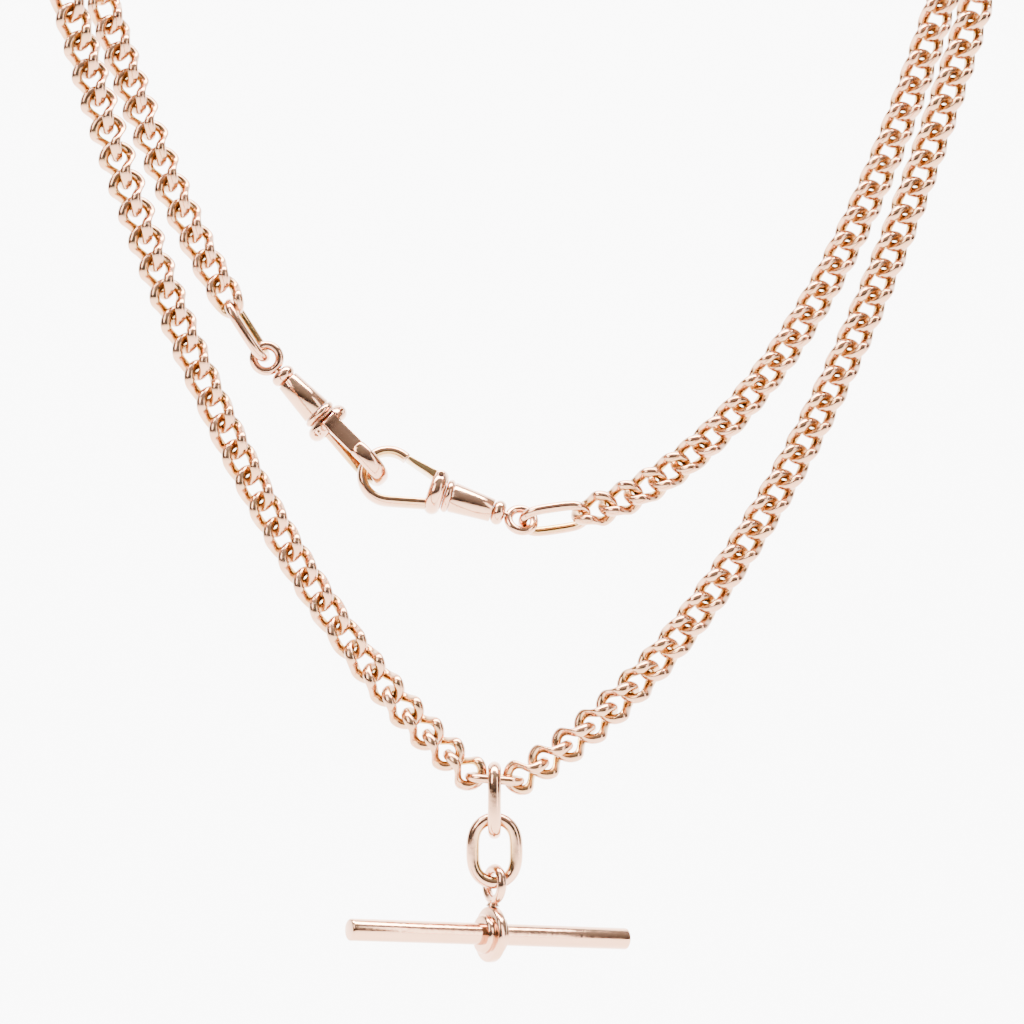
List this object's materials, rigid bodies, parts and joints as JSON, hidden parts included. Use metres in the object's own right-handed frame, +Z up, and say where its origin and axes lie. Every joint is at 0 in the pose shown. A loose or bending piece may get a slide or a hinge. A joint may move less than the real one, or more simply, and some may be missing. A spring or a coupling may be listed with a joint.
{
  "type": "pocket watch chain",
  "caption": "Curb-link pocket watch chain, hung as a closed loop over two pegs: sprung swivel clips hooked together and a T-bar on a drop ring.",
  "frame": {"origin": "centre of the left peg that the chain hangs over", "axes": "+X to the viewer's right along the two strands, +Y away from the viewer, +Z up"},
  "size_m": [0.112, 0.0301, 0.1237],
  "materials": {
    "rose_gold": "worn polished rose gold",
    "polished_gold": "polished rose gold",
    "yellow_gold": "polished, yellower gold",
    "spring_steel": "thin spring leaf"
  },
  "bodies": {
    "over_pegs": {"over_left_peg": "rose_gold", "over_right_peg": "rose_gold"},
    "lower_strand": {"lower_01": "rose_gold", "lower_03": "rose_gold", "lower_05": "rose_gold", "lower_07": "rose_gold", "lower_09": "rose_gold", "lower_11": "rose_gold", "lower_13": "rose_gold", "lower_15": "rose_gold", "lower_17": "rose_gold"},
    "upper_strand": {"upper_left_1": "rose_gold", "upper_left_3": "rose_gold", "first_swivel_eye": "polished_gold", "upper_right_1": "rose_gold", "upper_right_3": "rose_gold", "upper_right_5": "rose_gold", "second_swivel_eye": "polished_gold"},
    "lower_02": {"lower_02": "rose_gold"},
    "lower_04": {"lower_04": "rose_gold"},
    "lower_06": {"lower_06": "rose_gold"},
    "lower_08": {"lower_08": "rose_gold"},
    "lower_10": {"lower_10": "rose_gold"},
    "lower_12": {"lower_12": "rose_gold"},
    "lower_14": {"lower_14": "rose_gold"},
    "lower_16": {"lower_16": "rose_gold"},
    "upper_left_2": {"upper_left_2": "rose_gold"},
    "upper_left_4": {"upper_left_4": "rose_gold"},
    "upper_right_2": {"upper_right_2": "rose_gold"},
    "upper_right_4": {"upper_right_4": "rose_gold"},
    "upper_right_6": {"upper_right_6": "rose_gold"},
    "first_jump_link": {"first_jump_link": "polished_gold"},
    "second_jump_link": {"second_jump_link": "polished_gold"},
    "first_clip": {"first_cap": "polished_gold", "first_barrel": "polished_gold", "first_ring": "polished_gold", "first_bead": "polished_gold", "first_hook": "polished_gold", "first_rivet": "polished_gold", "first_spring": "spring_steel"},
    "first_lever": {"first_lever": "polished_gold"},
    "second_clip": {"second_cap": "polished_gold", "second_barrel": "polished_gold", "second_ring": "polished_gold", "second_bead": "polished_gold", "second_hook": "polished_gold", "second_rivet": "polished_gold", "second_spring": "spring_steel"},
    "second_lever": {"second_lever": "yellow_gold"},
    "drop_ring": {"drop_ring": "polished_gold"},
    "oval_link": {"oval_link": "polished_gold"},
    "t_bar": {"bar_eye": "polished_gold", "bar_collar": "polished_gold", "bar_rod": "polished_gold"}
  },
  "joints": [
    {"name": "lower_strand_swing", "type": "hinge", "parent": "over_pegs", "child": "lower_strand", "pos_m": [-0.0013, -0.00753, -0.00037], "axis": [-0.9998, 0, -0.021], "range_deg": [0, 5]},
    {"name": "upper_strand_swing", "type": "hinge", "parent": "over_pegs", "child": "upper_strand", "pos_m": [0.0013, 0.00753, 0.00037], "axis": [0.9998, 0, 0.0223], "range_deg": [0, 5]},
    {"name": "lower_02_turn", "type": "hinge", "parent": "lower_strand", "child": "lower_02", "pos_m": [0.00156, -0.00753, -0.01001], "axis": [0.3103, 0, -0.9506], "range_deg": [-5, 5]},
    {"name": "lower_04_turn", "type": "hinge", "parent": "lower_strand", "child": "lower_04", "pos_m": [0.01035, -0.00753, -0.03532], "axis": [0.3885, 0, -0.9215], "range_deg": [-5, 5]},
    {"name": "lower_06_turn", "type": "hinge", "parent": "lower_strand", "child": "lower_06", "pos_m": [0.02148, -0.00753, -0.05968], "axis": [0.5014, 0, -0.8652], "range_deg": [-5, 5]},
    {"name": "lower_08_turn", "type": "hinge", "parent": "lower_strand", "child": "lower_08", "pos_m": [0.03423, -0.00753, -0.07932], "axis": [0.6809, 0, -0.7323], "range_deg": [-5, 5]},
    {"name": "lower_10_turn", "type": "hinge", "parent": "lower_strand", "child": "lower_10", "pos_m": [0.05609, -0.00753, -0.08804], "axis": [0.7393, 0, 0.6734], "range_deg": [-5, 5]},
    {"name": "lower_12_turn", "type": "hinge", "parent": "lower_strand", "child": "lower_12", "pos_m": [0.07432, -0.00753, -0.06855], "axis": [0.5395, 0, 0.842], "range_deg": [-5, 5]},
    {"name": "lower_14_turn", "type": "hinge", "parent": "lower_strand", "child": "lower_14", "pos_m": [0.08608, -0.00753, -0.04829], "axis": [0.4127, 0, 0.9109], "range_deg": [-5, 5]},
    {"name": "lower_16_turn", "type": "hinge", "parent": "lower_strand", "child": "lower_16", "pos_m": [0.09649, -0.00753, -0.02361], "axis": [0.3262, 0, 0.9453], "range_deg": [-5, 5]},
    {"name": "upper_left_2_turn", "type": "hinge", "parent": "upper_strand", "child": "upper_left_2", "pos_m": [0.00448, 0.00753, -0.00916], "axis": [0.3566, 0, -0.9342], "range_deg": [-5, 5]},
    {"name": "upper_left_4_turn", "type": "hinge", "parent": "upper_strand", "child": "upper_left_4", "pos_m": [0.01215, 0.00753, -0.02773], "axis": [0.4723, 0, -0.8814], "range_deg": [-5, 5]},
    {"name": "upper_right_2_turn", "type": "hinge", "parent": "upper_strand", "child": "upper_right_2", "pos_m": [0.09801, 0.00753, -0.0101], "axis": [-0.3693, 0, -0.9293], "range_deg": [-5, 5]},
    {"name": "upper_right_4_turn", "type": "hinge", "parent": "upper_strand", "child": "upper_right_4", "pos_m": [0.0871, 0.00753, -0.03455], "axis": [-0.552, 0, -0.8338], "range_deg": [-5, 5]},
    {"name": "upper_right_6_turn", "type": "hinge", "parent": "upper_strand", "child": "upper_right_6", "pos_m": [0.0703, 0.00753, -0.0552], "axis": [-0.8914, 0, -0.4532], "range_deg": [-5, 5]},
    {"name": "first_jump_link_turn", "type": "hinge", "parent": "upper_strand", "child": "first_jump_link", "pos_m": [0.0169, 0.00753, -0.03658], "axis": [0.5393, 0, -0.8421], "range_deg": [-5, 5]},
    {"name": "second_jump_link_turn", "type": "hinge", "parent": "upper_strand", "child": "second_jump_link", "pos_m": [0.05212, 0.00753, -0.06215], "axis": [0.9896, 0, 0.144], "range_deg": [-5, 5]},
    {"name": "first_swivel", "type": "hinge", "parent": "upper_strand", "child": "first_clip", "pos_m": [0.02094, 0.00753, -0.04259], "axis": [0.6873, 0, -0.7264], "range_deg": [-10, 10]},
    {"name": "first_lever_open", "type": "hinge", "parent": "first_clip", "child": "first_lever", "pos_m": [0.02858, 0.00586, -0.05014], "axis": [0.7105, 0.2079, 0.6723], "range_deg": [0, 28], "stiffness_Nm_per_rad": 0.01, "springref_deg": -11.46},
    {"name": "second_swivel", "type": "hinge", "parent": "upper_strand", "child": "second_clip", "pos_m": [0.05129, 0.00753, -0.06187], "axis": [0.9495, 0, -0.3137], "range_deg": [-10, 10]},
    {"name": "second_lever_open", "type": "hinge", "parent": "second_clip", "child": "second_lever", "pos_m": [0.04161, 0.00797, -0.05694], "axis": [0.0812, -0.9659, 0.2458], "range_deg": [0, 28], "stiffness_Nm_per_rad": 0.01, "springref_deg": -11.46},
    {"name": "drop_ring_swing", "type": "hinge", "parent": "lower_strand", "child": "drop_ring", "pos_m": [0.04818, -0.00918, -0.09151], "axis": [0.9964, 0, -0.0845], "range_deg": [-45, 6]},
    {"name": "oval_link_swing", "type": "hinge", "parent": "drop_ring", "child": "oval_link", "pos_m": [0.04818, -0.00918, -0.09759], "axis": [0, 1, 0], "range_deg": [-40, 40]},
    {"name": "t_bar_swing", "type": "hinge", "parent": "oval_link", "child": "t_bar", "pos_m": [0.04818, -0.00918, -0.10331], "axis": [1, 0, 0], "range_deg": [-40, 40]}
  ]
}
